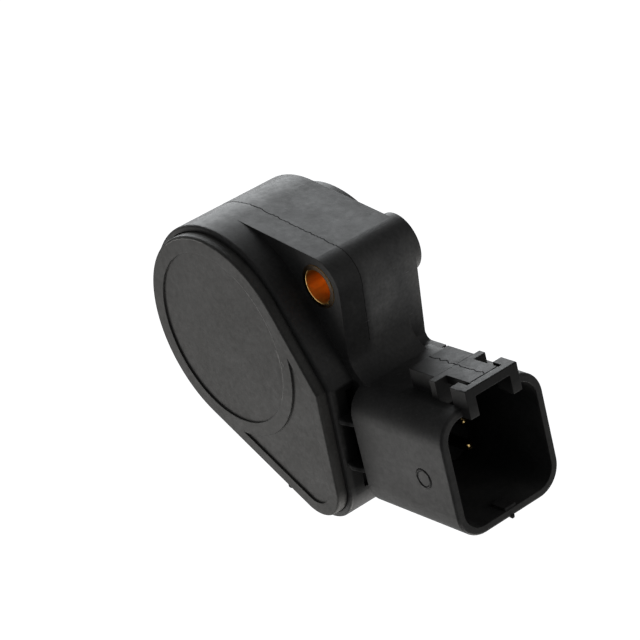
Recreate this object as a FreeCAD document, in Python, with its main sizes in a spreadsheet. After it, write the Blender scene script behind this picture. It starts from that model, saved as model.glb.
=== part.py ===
"""Accelerator pedal sensor: a sprung rotor in a moulded housing with a six-way connector.

Millimetres. The origin is on the rotor's axis, on the mounting plane. +X points to the connector's mouth,
+Y from the cover to the pedal bracket, and +Z is up. Heights are measured from the mounting plane to the
cover, along -Y.
"""
import FreeCAD, Part
import math
import os
import Sketcher

# Driving dimensions, in millimetres and degrees
SIZES = {
    # round body and teardrop
    "body_r": 21.5, "tip_x": 17.8, "tip_z": -25.1, "tip_r": 8.2, "side_angle": 28.4, "side_lean": 3.5,
    "body_back": 1.3, "rim_top": 24.5, "floor_thick": 2.0, "rim_round": 0.5,
    # steps inside the rim, measured inwards from the outline
    "rim_width": 1.1, "seat_width": 0.8, "ledge_width": 0.7, "cover_depth": 1.5, "slip_gap": 0.15,
    # ears and sleeves
    "bolt_out": 5.3, "bolt_angle": 27.4, "ear_r": 5.65, "ear_front": 19.1,
    "sleeve_r": 4.1, "sleeve_bore_r": 3.2, "sleeve_proud": 0.12, "press_gap": 0.02,
    # neck between the body and the connector
    "neck_x": 19.6, "neck_fillet": 5.0, "back_fillet": 1.5, "back_step": 4.5, "neck_drop": 0.3,
    "neck_front": 17.6, "neck_bottom": -27.0, "neck_overlap": 3.0,
    "relief_in": 0.5, "relief_roof": 0.3, "relief_foot": 1.3, "relief_head": -6.5,
    "rib_thick": 0.9, "rib_front": 21.8, "rib_upper_z": -12.2, "rib_lower_z": -21.5,
    # connector shroud
    "conn_y": -10.7, "conn_z": -17.7, "conn_w": 23.8, "conn_h": 24.3, "conn_r": 5.4, "conn_wall": 1.5,
    "conn_rear": 29.2, "conn_mouth": 53.4, "conn_floor": 1.8, "mouth_round": 0.5,
    # latch bridge
    "latch_top": -2.0, "latch_rear": 39.2, "latch_half": 4.6, "latch_length": 6.8, "stop_half": 5.9,
    "stop_thick": 1.5, "tongue_half": 3.2, "tongue_thick": 1.6, "bar_gap": 0.4, "bar_thick": 1.6,
    "bar_half": 6.0, "leg_thick": 2.0, "leg_length": 3.9, "leg_bottom": -7.3, "slot_half": 5.8,
    # terminals
    "pin_half": 0.75, "pin_tip_x": 38.3, "pin_pitch": 5.3, "column_half": 5.3, "pin_bend": 1.6,
    "lead_front_x": 22.0, "lead_rear_x": 19.4, "lead_proud": 0.6, "pin_taper": 0.4,
    # bearing, rotor and spring
    "hub_r": 7.0, "run_gap": 0.05, "bearing_wall": 2.6, "bearing_top": 14.6, "washer_thick": 0.5,
    "flange_r": 14.5, "flange_thick": 2.0, "front_boss_r": 5.0, "front_boss_high": 1.1, "journal_r": 2.5,
    "hub_rear": 3.4, "socket_long": 10.0, "socket_wide": 4.6, "socket_deep": 6.2,
    "seal_cord": 1.4, "seal_height": 7.0, "seal_side_gap": 0.15,
    "wire_half": 0.55, "coil_gap": 1.2, "coil_turns": 3.0, "coil_seat": 0.1,
    "tab_r": 17.4, "tab_angle": 200.0, "tab_half_angle": 8.0, "travel": 75.0, "stop_angle": 10.0,
    "stop_gap_angle": 0.4, "stop_r": 15.2, "stop_high": 19.5,
    "hook_angle": 300.0, "hook_span": 9.0, "hook_gap_angle": 1.0, "hook_side": 0.2, "hook_high": 1.9,
    # rear collar
    "collar_r": 18.1, "collar_high": 4.1, "collar_wall": 3.2, "collar_groove": 3.2, "collar_rib": 1.6,
    "collar_ribs": 6, "collar_chamfer": 0.6,
    # front cover
    "cover_proud": 2.0, "cover_plate": 1.8, "cover_skirt": 1.2, "cover_round": 0.5, "disc_edge": 3.25,
    "disc_deep": 0.35, "tip_edge": 2.6, "tip_arc_gap": 2.05, "pivot_boss_r": 4.0,
    "pivot_gap": 0.3, "pivot_end": 0.3, "board_hole_gap": 0.3,
    # wipers
    "strip_thick": 0.3, "strip_wide": 2.6, "strip_base": 4.5, "strip_reach": 7.0,
    "strip_tip": 1.4, "strip_drop": 0.7,
    "wiper_inner_z": 9.4, "wiper_outer_z": -11.6, "brush_gap": 0.05,
}

doc = FreeCAD.newDocument("PedalSensor")
sheet = doc.addObject("Spreadsheet::Sheet", "Sizes")


class Dim:
    """A length or an angle: its number places the geometry, its text binds it to the sheet."""

    def __init__(self, number, text):
        self.number = number
        self.text = text

    def join(self, other, sign, number):
        text = other.text if isinstance(other, Dim) else repr(other)
        return Dim(number, "(%s %s %s)" % (self.text, sign, text))

    def __add__(self, other):
        return self.join(other, "+", self.number + plain(other))

    def __sub__(self, other):
        return self.join(other, "-", self.number - plain(other))

    def __mul__(self, other):
        return self.join(other, "*", self.number * plain(other))

    def __truediv__(self, other):
        return self.join(other, "/", self.number / plain(other))

    def __neg__(self):
        return Dim(-self.number, "(-1 * %s)" % self.text)


def plain(value):
    """The number of a Dim, or the number itself."""
    return value.number if isinstance(value, Dim) else value


def fill_sheet():
    """Writes each size to its own aliased cell and returns the Dims by name."""
    dims = {}
    for row, (name, number) in enumerate(SIZES.items(), start=1):
        sheet.set("A%d" % row, name)
        sheet.set("B%d" % row, str(number))
        sheet.setAlias("B%d" % row, name)
        dims[name] = Dim(number, "Sizes.%s" % name)
    doc.recompute()
    return dims


D = fill_sheet()
ZERO = Dim(0.0, "0")

# Heights and insets that several pieces share
cover_seat = D["rim_top"] - D["cover_depth"]
cover_top = D["rim_top"] + D["cover_proud"]
cover_under = cover_top - D["cover_plate"]
cover_inset = D["rim_width"] + D["slip_gap"]
board_inset = D["rim_width"] + D["seat_width"]
disc_r = D["body_r"] - cover_inset - D["disc_edge"]
bolt_r = D["body_r"] + D["bolt_out"]
cavity_inset = board_inset + D["ledge_width"]
board_thick = D["cover_depth"]
board_seat = cover_seat - board_thick
floor_top = D["body_back"] + D["floor_thick"]
bearing_r = D["hub_r"] + D["bearing_wall"]
bore_r = D["hub_r"] + D["run_gap"]
flange_under = D["bearing_top"] + D["washer_thick"] + D["run_gap"]
flange_top = flange_under + D["flange_thick"]
boss_top = flange_top + D["front_boss_high"]
pivot_low = boss_top + D["pivot_gap"]
coil_r = bearing_r + D["coil_gap"] + D["wire_half"]
conn_top = D["conn_z"] + D["conn_h"] / 2
latch_front = D["latch_rear"] + D["latch_length"]
stop_front = latch_front + D["stop_thick"]
bar_rear = D["conn_mouth"] + D["bar_gap"]
bar_front = bar_rear + D["bar_thick"]
pin_hole = D["pin_half"] + D["press_gap"]

# Half the angle between the two flanks of an ear, seen from the rotor's axis, in degrees
ear_slope = (D["body_r"] - D["ear_r"]) / bolt_r
ear_spread = Dim(math.degrees(math.acos(ear_slope.number)), "(acos(%s) / 1deg)" % ear_slope.text)
wall_angle = D["bolt_angle"] + ear_spread - 90


def vec(x, y):
    """A point of a sketch."""
    return FreeCAD.Vector(x, y, 0)


def polar(radius, degrees):
    """A sketch point at a radius and an angle from the sketch's origin."""
    return vec(radius * math.cos(math.radians(degrees)), radius * math.sin(math.radians(degrees)))


def bind(thing, place, dim):
    """Ties a property of an object to the sheet."""
    thing.setExpression(place, dim.text)


def new_body(name):
    """A sub-part: a body whose label names its file."""
    body = doc.addObject("PartDesign::Body", name)
    body.Label = name
    return body


def sketch_on(body, name, role, lift):
    """A sketch on one of the body's own origin planes, lifted along the plane's normal."""
    plane = next(feature for feature in body.Origin.OriginFeatures if feature.Role == role)
    sketch = body.newObject("Sketcher::SketchObject", name)
    sketch.AttachmentSupport = [(plane, "")]
    sketch.MapMode = "FlatFace"
    bind(sketch, "AttachmentOffset.Base.z", lift)
    return sketch


def front_sketch(body, name, height):
    """A sketch that faces the cover, at a height above the mounting plane: X to the right, Z up."""
    return sketch_on(body, name, "XZ_Plane", height)


def rule(sketch, kind, *refs):
    """A constraint without a size."""
    sketch.addConstraint(Sketcher.Constraint(kind, *refs))


def measure(sketch, kind, dim, *refs):
    """A constraint whose size is bound to the sheet."""
    index = sketch.addConstraint(Sketcher.Constraint(kind, *refs, dim.number))
    sketch.setExpression("Constraints[%d]" % index, dim.text)


def measure_angle(sketch, dim, *refs):
    """An angle bound to the sheet, in degrees."""
    index = sketch.addConstraint(Sketcher.Constraint("Angle", *refs, math.radians(dim.number)))
    sketch.setExpression("Constraints[%d]" % index, "%s * 1deg" % dim.text)


def pin_point(sketch, geometry, corner, x, y):
    """Fixes a point of a sketch at a place measured from the sketch's origin."""
    measure(sketch, "DistanceX", x, -1, 1, geometry, corner)
    measure(sketch, "DistanceY", y, -1, 1, geometry, corner)


def add_circle(sketch, x, y, radius):
    """A circle at a measured centre, or at the sketch's origin."""
    at_origin = x is ZERO and y is ZERO
    circle = sketch.addGeometry(Part.Circle(vec(x.number, y.number), FreeCAD.Vector(0, 0, 1), radius.number))
    if at_origin:
        rule(sketch, "Coincident", circle, 3, -1, 1)
    else:
        pin_point(sketch, circle, 3, x, y)
    measure(sketch, "Radius", radius, circle)
    return circle


def add_arc(sketch, centre, radius, start, end):
    """An arc from one angle to another, anticlockwise."""
    circle = Part.Circle(centre, FreeCAD.Vector(0, 0, 1), radius)
    return sketch.addGeometry(Part.ArcOfCircle(circle, math.radians(start), math.radians(end)))


def add_line(sketch, start, end):
    """A straight edge."""
    return sketch.addGeometry(Part.LineSegment(start, end))


def add_rectangle(sketch, left, bottom, right, top):
    """A rectangle between four measured sides."""
    corners = [vec(left.number, bottom.number), vec(right.number, bottom.number),
               vec(right.number, top.number), vec(left.number, top.number)]
    sides = [add_line(sketch, corners[i], corners[(i + 1) % 4]) for i in range(4)]
    for index, side in enumerate(sides):
        rule(sketch, "Coincident", side, 2, sides[(index + 1) % 4], 1)
        rule(sketch, "Horizontal" if index % 2 == 0 else "Vertical", side)
    pin_point(sketch, sides[0], 1, left, bottom)
    pin_point(sketch, sides[1], 2, right, top)


def add_square(sketch, x, y, half):
    """A square about a measured centre."""
    add_rectangle(sketch, x - half, y - half, x + half, y + half)


def add_rounded_rectangle(sketch, x, y, width, height, radius):
    """A rectangle with round corners about a measured centre."""
    half_w = width / 2
    half_h = height / 2
    reach = radius.number
    left, right = x.number - half_w.number, x.number + half_w.number
    low, high = y.number - half_h.number, y.number + half_h.number
    ends = [(vec(left + reach, low), vec(right - reach, low)),
            (vec(right, low + reach), vec(right, high - reach)),
            (vec(right - reach, high), vec(left + reach, high)),
            (vec(left, high - reach), vec(left, low + reach))]
    sides = [add_line(sketch, *pair) for pair in ends]
    centres = [vec(right - reach, low + reach), vec(right - reach, high - reach),
               vec(left + reach, high - reach), vec(left + reach, low + reach)]
    corners = [add_arc(sketch, centre, reach, 90 * i - 90, 90 * i) for i, centre in enumerate(centres)]
    for index, corner in enumerate(corners):
        rule(sketch, "Tangent", sides[index], 2, corner, 1)
        rule(sketch, "Tangent", corner, 2, sides[(index + 1) % 4], 1)
        measure(sketch, "Radius", radius, corner)
    pin_point(sketch, corners[0], 3, x + half_w - radius, y - half_h + radius)
    pin_point(sketch, corners[2], 3, x - half_w + radius, y + half_h - radius)
    rule(sketch, "Horizontal", sides[0])
    rule(sketch, "Vertical", sides[1])


def teardrop_places(inset):
    """The outline's radii, tip centre, lower flank angle and right corner, set in by a distance."""
    large = D["body_r"] - inset
    small = D["tip_r"] - inset
    tip = vec(D["tip_x"].number, D["tip_z"].number)
    flank = math.degrees(math.atan2(tip.y, tip.x) - math.acos((large.number - small.number) / tip.Length))
    upper = polar(1, D["side_angle"].number)
    right = polar(1, -D["side_lean"].number)
    reach = tip.dot(right) + small.number
    spread = upper.x * right.y - upper.y * right.x
    corner = vec((large.number * right.y - reach * upper.y) / spread,
                 (reach * upper.x - large.number * right.x) / spread)
    return large, small, tip, flank, corner


def close_tip(sketch, inset, round_tip, side, slant):
    """Holds the tip's round and the two straight sides to the right of it."""
    rule(sketch, "Tangent", round_tip, 2, side, 1)
    rule(sketch, "Coincident", side, 2, slant, 1)
    pin_point(sketch, round_tip, 3, D["tip_x"], D["tip_z"])
    measure(sketch, "Radius", D["tip_r"] - inset, round_tip)
    measure_angle(sketch, -D["side_lean"] + 90, side)
    measure_angle(sketch, D["side_angle"] + 90, slant)


def add_teardrop(sketch, inset):
    """The body's outline, set in by a distance: a large and a small round with straight flanks."""
    large, small, tip, flank, corner = teardrop_places(inset)
    lean = D["side_lean"].number
    angle = D["side_angle"].number
    round_body = add_arc(sketch, vec(0, 0), large.number, angle, flank + 360)
    lower = add_line(sketch, polar(large.number, flank), tip + polar(small.number, flank))
    round_tip = add_arc(sketch, tip, small.number, flank, -lean)
    side = add_line(sketch, tip + polar(small.number, -lean), corner)
    slant = add_line(sketch, corner, polar(large.number, angle))
    rule(sketch, "Coincident", round_body, 3, -1, 1)
    rule(sketch, "Tangent", round_body, 2, lower, 1)
    rule(sketch, "Tangent", lower, 2, round_tip, 1)
    rule(sketch, "Tangent", slant, 2, round_body, 1)
    measure(sketch, "Radius", large, round_body)
    close_tip(sketch, inset, round_tip, side, slant)


def add_sector(sketch, inner, outer, start, end):
    """A piece of a ring about the rotor's axis, between two radii and two angles."""
    low, high = start.number, end.number
    inside = add_arc(sketch, vec(0, 0), inner.number, low, high)
    outside = add_arc(sketch, vec(0, 0), outer.number, low, high)
    first = add_line(sketch, polar(inner.number, low), polar(outer.number, low))
    last = add_line(sketch, polar(inner.number, high), polar(outer.number, high))
    for arc, radius in ((inside, inner), (outside, outer)):
        rule(sketch, "Coincident", arc, 3, -1, 1)
        measure(sketch, "Radius", radius, arc)
    for line, end_of_arc, angle in ((first, 1, start), (last, 2, end)):
        rule(sketch, "Coincident", line, 1, inside, end_of_arc)
        rule(sketch, "Coincident", line, 2, outside, end_of_arc)
        measure_angle(sketch, angle, line)


def pad(body, sketch, length, reverse=False):
    """Raises a sketch into the body."""
    feature = body.newObject("PartDesign::Pad", sketch.Name + "_pad")
    feature.Profile = sketch
    feature.Reversed = reverse
    bind(feature, "Length", length)
    sketch.Visibility = False
    return feature


def pocket(body, sketch, length, reverse=False):
    """Cuts a sketch into the body, away from its front, and makes sure that something was cut."""
    doc.recompute()
    before = body.Shape.Volume
    feature = body.newObject("PartDesign::Pocket", sketch.Name + "_cut")
    feature.Profile = sketch
    feature.Reversed = reverse
    bind(feature, "Length", length)
    doc.recompute()
    if not body.Shape.Volume < before:
        raise RuntimeError("%s cuts nothing" % sketch.Name)
    return feature


def raise_outline(body, name, low, high, draw):
    """A pad from one height to another, of an outline that draw() makes."""
    sketch = front_sketch(body, name, low)
    draw(sketch)
    return pad(body, sketch, high - low)


def sink_outline(body, name, high, low, draw):
    """A pocket from one height down to another, of an outline that draw() makes."""
    sketch = front_sketch(body, name, high)
    draw(sketch)
    return pocket(body, sketch, high - low)


def side_block(body, name, start, end, y_low, y_high, z_low, z_high):
    """A block on the connector, between two distances along X."""
    sketch = sketch_on(body, name, "YZ_Plane", start)
    add_rectangle(sketch, y_low, z_low, y_high, z_high)
    return pad(body, sketch, end - start)


def edges_where(body, test):
    """The names of the body's present edges that pass a test."""
    doc.recompute()
    return ["Edge%d" % number for number, edge in enumerate(body.Shape.Edges, start=1) if test(edge)]


def dress(body, kind, name, test, size_name, dim):
    """A fillet or a chamfer on the edges that pass a test."""
    names = edges_where(body, test)
    if not names:
        raise RuntimeError("%s finds no edge" % name)
    base = body.Tip
    feature = body.newObject(kind, name)
    feature.Base = (base, names)
    bind(feature, size_name, dim)
    doc.recompute()
    return feature


def flat_at(edge, axis, place):
    """Tells whether an edge lies in a plane across an axis."""
    box = edge.BoundBox
    low, high = getattr(box, axis + "Min"), getattr(box, axis + "Max")
    return abs(low - place) < 1e-4 and abs(high - place) < 1e-4


def bolt_place(turn):
    """The centre of a bolt hole, turned about the rotor's axis."""
    return polar(bolt_r.number, D["bolt_angle"].number + turn)


def add_bolt_circle(sketch, turn, radius):
    """A circle about a bolt hole's axis, which is held by its distance and angle from the rotor's axis."""
    centre = bolt_place(turn)
    arm = add_line(sketch, vec(0, 0), centre)
    sketch.setConstruction(arm, True)
    rule(sketch, "Coincident", arm, 1, -1, 1)
    measure(sketch, "Distance", bolt_r, arm)
    measure_angle(sketch, D["bolt_angle"] + turn, arm)
    circle = sketch.addGeometry(Part.Circle(centre, FreeCAD.Vector(0, 0, 1), radius.number))
    rule(sketch, "Coincident", circle, 3, arm, 2)
    measure(sketch, "Radius", radius, circle)
    return arm


def add_lug(sketch, turn):
    """An ear: a round about the bolt hole with flanks that run out tangent to the round body."""
    centre = bolt_place(turn)
    middle = D["bolt_angle"].number + turn
    ear, body_r = D["ear_r"].number, D["body_r"].number
    high, low = middle + ear_spread.number, middle - ear_spread.number
    end = add_arc(sketch, centre, ear, low, high)
    upper = add_line(sketch, centre + polar(ear, high), polar(body_r, high))
    chord = add_line(sketch, polar(body_r, high), polar(body_r, low))
    lower = add_line(sketch, polar(body_r, low), centre + polar(ear, low))
    arm = add_line(sketch, vec(0, 0), centre)
    sketch.setConstruction(arm, True)
    body_circle = add_circle(sketch, ZERO, ZERO, D["body_r"])
    sketch.setConstruction(body_circle, True)
    rule(sketch, "Coincident", arm, 1, -1, 1)
    measure(sketch, "Distance", bolt_r, arm)
    measure_angle(sketch, D["bolt_angle"] + turn, arm)
    rule(sketch, "Coincident", end, 3, arm, 2)
    measure(sketch, "Radius", D["ear_r"], end)
    rule(sketch, "Tangent", end, 2, upper, 1)
    rule(sketch, "Tangent", lower, 2, end, 1)
    rule(sketch, "Coincident", upper, 2, chord, 1)
    rule(sketch, "Coincident", chord, 2, lower, 1)
    rule(sketch, "Tangent", upper, 2, body_circle)
    rule(sketch, "Tangent", lower, 1, body_circle)


def add_neck_web(sketch, fillet):
    """The wall from the upper ear down to the connector, with a hollow round where it meets the shroud."""
    centre = bolt_place(0)
    wall = wall_angle.number
    outward = polar(1, wall)
    ear, hollow = D["ear_r"].number, fillet.number
    floor = conn_top - D["neck_drop"]
    end = D["conn_rear"] + D["neck_overlap"]
    hollow_z = floor.number + hollow
    hollow_x = (centre.dot(outward) + ear + hollow - hollow_z * outward.y) / outward.x
    hollow_centre = vec(hollow_x, hollow_z)
    points = [centre, centre + outward * ear, hollow_centre - outward * hollow, vec(hollow_x, floor.number),
              vec(end.number, floor.number), vec(end.number, D["rib_upper_z"].number),
              vec(D["neck_x"].number, D["rib_upper_z"].number)]
    spoke = add_line(sketch, points[0], points[1])
    face = add_line(sketch, points[1], points[2])
    bend = add_arc(sketch, hollow_centre, hollow, wall + 180, 270)
    shelf = add_line(sketch, points[3], points[4])
    drop = add_line(sketch, points[4], points[5])
    foot = add_line(sketch, points[5], points[6])
    back = add_line(sketch, points[6], points[0])
    arm = add_line(sketch, vec(0, 0), centre)
    sketch.setConstruction(arm, True)
    rule(sketch, "Coincident", arm, 1, -1, 1)
    measure(sketch, "Distance", bolt_r, arm)
    measure_angle(sketch, D["bolt_angle"], arm)
    rule(sketch, "Coincident", spoke, 1, arm, 2)
    measure(sketch, "Distance", D["ear_r"], spoke)
    measure_angle(sketch, wall_angle, spoke)
    rule(sketch, "Coincident", spoke, 2, face, 1)
    rule(sketch, "Perpendicular", spoke, face)
    rule(sketch, "Tangent", face, 2, bend, 1)
    rule(sketch, "Tangent", bend, 2, shelf, 1)
    measure(sketch, "Radius", fillet, bend)
    rule(sketch, "Horizontal", shelf)
    for first, second in ((shelf, drop), (drop, foot), (foot, back), (back, spoke)):
        rule(sketch, "Coincident", first, 2, second, 1)
    pin_point(sketch, drop, 1, end, floor)
    pin_point(sketch, drop, 2, end, D["rib_upper_z"])
    pin_point(sketch, back, 1, D["neck_x"], D["rib_upper_z"])


def terminal_rows():
    """Each terminal's number, connector place and lead end: three rows in two columns."""
    rows = []
    for column, (side, lead) in enumerate(((-1, D["lead_front_x"]), (1, D["lead_rear_x"]))):
        for row in range(3):
            y = D["conn_y"] + D["column_half"] * side
            z = D["conn_z"] + D["pin_pitch"] * (1 - row)
            rows.append((3 * column + row + 1, y, z, lead))
    return rows


def make_housing():
    """The one-piece moulding: body, ears, neck, connector shroud, latch and rear collar."""
    body = new_body("housing")
    back = D["body_back"]
    raise_outline(body, "body_outline", back, D["rim_top"], lambda sketch: add_teardrop(sketch, ZERO))
    dress(body, "PartDesign::Fillet", "rim_edge", lambda edge: flat_at(edge, "Y", -D["rim_top"].number),
          "Radius", D["rim_round"])
    relief_x = D["tip_x"] + D["tip_r"] - D["relief_in"]
    sink_outline(body, "side_relief", board_seat - D["relief_roof"], D["neck_front"],
                 lambda sketch: add_rectangle(sketch, relief_x, D["tip_z"] - D["relief_foot"],
                                              D["conn_rear"], D["relief_head"]))
    raise_outline(body, "ear_upper", back, D["ear_front"], lambda sketch: add_lug(sketch, 0))
    raise_outline(body, "ear_lower", back, D["ear_front"], lambda sketch: add_lug(sketch, 180))
    raise_outline(body, "neck_web", D["back_step"], D["ear_front"],
                  lambda sketch: add_neck_web(sketch, D["neck_fillet"]))
    raise_outline(body, "neck_web_back", back, D["back_step"],
                  lambda sketch: add_neck_web(sketch, D["back_fillet"]))
    inside_shroud = D["conn_rear"] + D["conn_floor"] / 2
    raise_outline(body, "neck", back, D["neck_front"],
                  lambda sketch: add_rectangle(sketch, D["neck_x"], D["neck_bottom"],
                                               inside_shroud, D["rib_upper_z"]))
    half = D["rib_thick"] / 2
    for name, middle in (("rib_upper", D["rib_upper_z"]), ("rib_lower", D["rib_lower_z"])):
        raise_outline(body, name, D["neck_front"], D["rib_front"],
                      lambda sketch: add_rectangle(sketch, D["neck_x"], middle - half,
                                                   inside_shroud, middle + half))
    make_shroud(body)
    make_latch(body)
    make_rear_collar(body)
    hollow_out(body)
    return body


def make_shroud(body):
    """The connector's outer form: a box with large round corners."""
    shroud = sketch_on(body, "shroud", "YZ_Plane", D["conn_rear"])
    add_rounded_rectangle(shroud, D["conn_y"], D["conn_z"], D["conn_w"], D["conn_h"], D["conn_r"])
    pad(body, shroud, D["conn_mouth"] - D["conn_rear"])
    dress(body, "PartDesign::Fillet", "mouth_edge", lambda edge: flat_at(edge, "X", D["conn_mouth"].number),
          "Radius", D["mouth_round"])


def make_latch(body):
    """The latch bridge on the shroud: block, stop, tongue, bar and the bar's two legs."""
    y = D["conn_y"]
    top = D["latch_top"]
    root = conn_top - D["conn_wall"] / 2
    under = top - D["tongue_thick"]
    blocks = [("latch_block", D["latch_rear"], latch_front, D["latch_half"], root),
              ("latch_stop", latch_front, stop_front, D["stop_half"], root),
              ("latch_tongue", stop_front, bar_front, D["tongue_half"], under),
              ("latch_bar", bar_rear, bar_front, D["bar_half"], under)]
    for name, start, end, half, bottom in blocks:
        side_block(body, name, start, end, y - half, y + half, bottom, top)
    slot = sketch_on(body, "latch_slot", "YZ_Plane", stop_front)
    add_rectangle(slot, y - D["slot_half"], conn_top - D["conn_wall"] * 2, y + D["slot_half"], under)
    pocket(body, slot, D["conn_mouth"] - stop_front, reverse=True)
    leg_rear = bar_front - D["leg_length"]
    side_block(body, "leg_front", leg_rear, bar_front, y - D["bar_half"], y - D["bar_half"] + D["leg_thick"],
               D["leg_bottom"], top)
    side_block(body, "leg_rear", leg_rear, bar_front, y + D["bar_half"] - D["leg_thick"], y + D["bar_half"],
               D["leg_bottom"], top)


def make_rear_collar(body):
    """The locating collar round the drive socket, cored out between ribs, and the bosses under the ears."""
    collar = front_sketch(body, "collar", -D["collar_high"])
    add_circle(collar, ZERO, ZERO, D["collar_r"])
    pad(body, collar, D["collar_high"] + D["body_back"])
    dress(body, "PartDesign::Chamfer", "collar_edge", lambda edge: flat_at(edge, "Y", D["collar_high"].number),
          "Size", D["collar_chamfer"])
    groove = front_sketch(body, "collar_groove", -D["collar_high"])
    add_circle(groove, ZERO, ZERO, D["collar_r"] - D["collar_wall"])
    add_circle(groove, ZERO, ZERO, bearing_r)
    pocket(body, groove, D["collar_groove"], reverse=True)
    rib = front_sketch(body, "collar_rib_outline", -D["collar_high"])
    half = D["collar_rib"] / 2
    add_rectangle(rib, -half, bearing_r - D["bearing_wall"] / 2, half, D["collar_r"] - D["collar_wall"] / 2)
    first = pad(body, rib, D["collar_groove"])
    doc.recompute()
    pattern = body.newObject("PartDesign::PolarPattern", "collar_ribs_round")
    pattern.Originals = [first]
    axis = next(feature for feature in body.Origin.OriginFeatures if feature.Role == "Y_Axis")
    pattern.Axis = (axis, [""])
    pattern.Angle = 360
    pattern.setExpression("Occurrences", D["collar_ribs"].text)
    body.Tip = pattern
    doc.recompute()
    for name, turn in (("boss_upper", 0), ("boss_lower", 180)):
        raise_outline(body, name, ZERO, D["body_back"],
                      lambda sketch: add_bolt_circle(sketch, turn, D["ear_r"]))


def hollow_out(body):
    """The cuts: cover seat, board ledge, cavity, bearing, sleeve holes, connector mouth and terminal holes."""
    sink_outline(body, "cover_recess", D["rim_top"], cover_seat,
                 lambda sketch: add_teardrop(sketch, D["rim_width"]))
    sink_outline(body, "board_recess", cover_seat, board_seat, lambda sketch: add_teardrop(sketch, board_inset))
    sink_outline(body, "cavity", board_seat, floor_top, lambda sketch: add_teardrop(sketch, cavity_inset))
    raise_outline(body, "bearing", floor_top, D["bearing_top"],
                  lambda sketch: add_circle(sketch, ZERO, ZERO, bearing_r))
    rest_edge = D["tab_angle"] + D["tab_half_angle"] + D["stop_gap_angle"]
    far_edge = D["tab_angle"] - D["tab_half_angle"] - D["travel"] - D["stop_gap_angle"]
    wall = D["body_r"] - cavity_inset + D["ledge_width"]
    raise_outline(body, "stop_rest", floor_top, D["stop_high"],
                  lambda sketch: add_sector(sketch, D["stop_r"], wall, rest_edge, rest_edge + D["stop_angle"]))
    raise_outline(body, "stop_far", floor_top, D["stop_high"],
                  lambda sketch: add_sector(sketch, D["stop_r"], wall, far_edge - D["stop_angle"], far_edge))
    hook_end = D["hook_angle"] - D["hook_gap_angle"]
    raise_outline(body, "spring_hook", floor_top, floor_top + D["wire_half"] * 2 + D["coil_seat"],
                  lambda sketch: add_sector(sketch, coil_r - D["wire_half"] - D["hook_side"],
                                            coil_r + D["wire_half"] + D["hook_side"],
                                            hook_end - D["hook_span"], hook_end))
    sink_outline(body, "bore", D["bearing_top"], -D["collar_high"],
                 lambda sketch: add_circle(sketch, ZERO, ZERO, bore_r))
    for name, turn in (("sleeve_hole_upper", 0), ("sleeve_hole_lower", 180)):
        sink_outline(body, name, D["ear_front"], ZERO,
                     lambda sketch: add_bolt_circle(sketch, turn, D["sleeve_r"] + D["press_gap"]))
    mouth = sketch_on(body, "mouth", "YZ_Plane", D["conn_mouth"])
    add_rounded_rectangle(mouth, D["conn_y"], D["conn_z"], D["conn_w"] - D["conn_wall"] * 2,
                          D["conn_h"] - D["conn_wall"] * 2, D["conn_r"] - D["conn_wall"])
    pocket(body, mouth, D["conn_mouth"] - D["conn_rear"] - D["conn_floor"])
    holes = sketch_on(body, "terminal_holes", "YZ_Plane", D["conn_rear"] + D["conn_floor"])
    for number, y, z, lead in terminal_rows():
        add_square(holes, y, z, pin_hole)
    pocket(body, holes, D["conn_rear"] + D["conn_floor"] - D["neck_x"])


def make_cover():
    """The teardrop lid, with two shallow recesses in its face and the rotor's front bearing behind it."""
    body = new_body("front_cover")
    raise_outline(body, "lid", cover_seat, cover_top, lambda sketch: add_teardrop(sketch, cover_inset))
    dress(body, "PartDesign::Fillet", "lid_edge", lambda edge: flat_at(edge, "Y", -cover_top.number),
          "Radius", D["cover_round"])
    under = front_sketch(body, "lid_hollow", cover_seat)
    add_teardrop(under, cover_inset + D["cover_skirt"])
    pocket(body, under, cover_under - cover_seat, reverse=True)
    raise_outline(body, "pivot_boss", pivot_low, cover_under,
                  lambda sketch: add_circle(sketch, ZERO, ZERO, D["pivot_boss_r"]))
    pivot = front_sketch(body, "pivot_bore", pivot_low)
    add_circle(pivot, ZERO, ZERO, D["journal_r"] + D["run_gap"])
    pocket(body, pivot, cover_under - pivot_low, reverse=True)
    sink_outline(body, "disc_recess", cover_top, cover_top - D["disc_deep"],
                 lambda sketch: add_circle(sketch, ZERO, ZERO, disc_r))
    sink_outline(body, "tip_recess", cover_top, cover_top - D["disc_deep"], add_tip_recess)
    return body


def add_tip_recess(sketch):
    """The recess in the lid's tip: the outline set in, up to an arc about the rotor's axis."""
    inset = cover_inset + D["tip_edge"]
    large, small, tip, flank, corner = teardrop_places(inset)
    lean = D["side_lean"].number
    arc_r = large + D["tip_arc_gap"]
    meet = math.degrees(math.acos(large.number / arc_r.number))
    inner_start = flank + meet
    inner_end = D["side_angle"].number - meet
    inner = add_arc(sketch, vec(0, 0), arc_r.number, inner_start, inner_end)
    lower = add_line(sketch, polar(arc_r.number, inner_start), tip + polar(small.number, flank))
    round_tip = add_arc(sketch, tip, small.number, flank, -lean)
    side = add_line(sketch, tip + polar(small.number, -lean), corner)
    slant = add_line(sketch, corner, polar(arc_r.number, inner_end))
    guide = add_circle(sketch, ZERO, ZERO, large)
    sketch.setConstruction(guide, True)
    rule(sketch, "Coincident", inner, 3, -1, 1)
    measure(sketch, "Radius", arc_r, inner)
    rule(sketch, "Coincident", inner, 1, lower, 1)
    rule(sketch, "Tangent", lower, 2, round_tip, 1)
    rule(sketch, "Coincident", slant, 2, inner, 2)
    rule(sketch, "Tangent", lower, guide)
    rule(sketch, "Tangent", slant, guide)
    close_tip(sketch, inset, round_tip, side, slant)


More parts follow.
